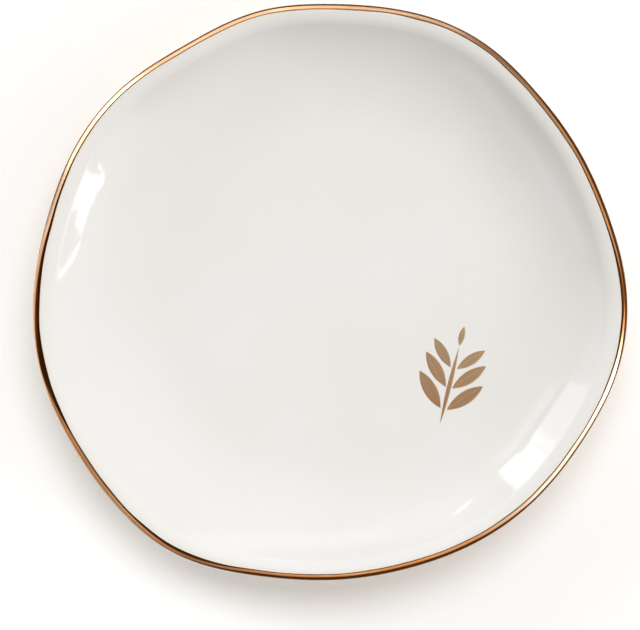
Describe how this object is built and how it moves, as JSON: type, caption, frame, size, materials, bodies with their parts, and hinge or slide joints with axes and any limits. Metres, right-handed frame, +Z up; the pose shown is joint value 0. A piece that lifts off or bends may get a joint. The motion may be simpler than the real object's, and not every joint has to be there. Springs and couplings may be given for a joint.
{
  "type": "ring dish",
  "caption": "Small round ceramic dish for rings, with an irregular wavy gilded lip, a shallow white glazed well with a gilded leaf sprig, and a bare clay foot ring.",
  "frame": {"origin": "on the table, under the middle of the dish", "axes": "+X to the right and +Y to the top of the picture, which looks straight down; +Z up, out of the well"},
  "size_m": [0.1206, 0.1167, 0.0151],
  "materials": {
    "bare_clay": "bare fired white clay, fine matt grain",
    "white_glaze": "glossy white glaze, slightly uneven",
    "lip_gold": "bright fired gold, brushed on by hand",
    "sprig_gold": "satin fired gold"
  },
  "bodies": {
    "root": {"clay_body": "bare_clay", "glaze_coat": "white_glaze", "recess_glaze": "white_glaze", "gold_rim": "lip_gold", "gold_sprig": "sprig_gold"}
  },
  "joints": []
}
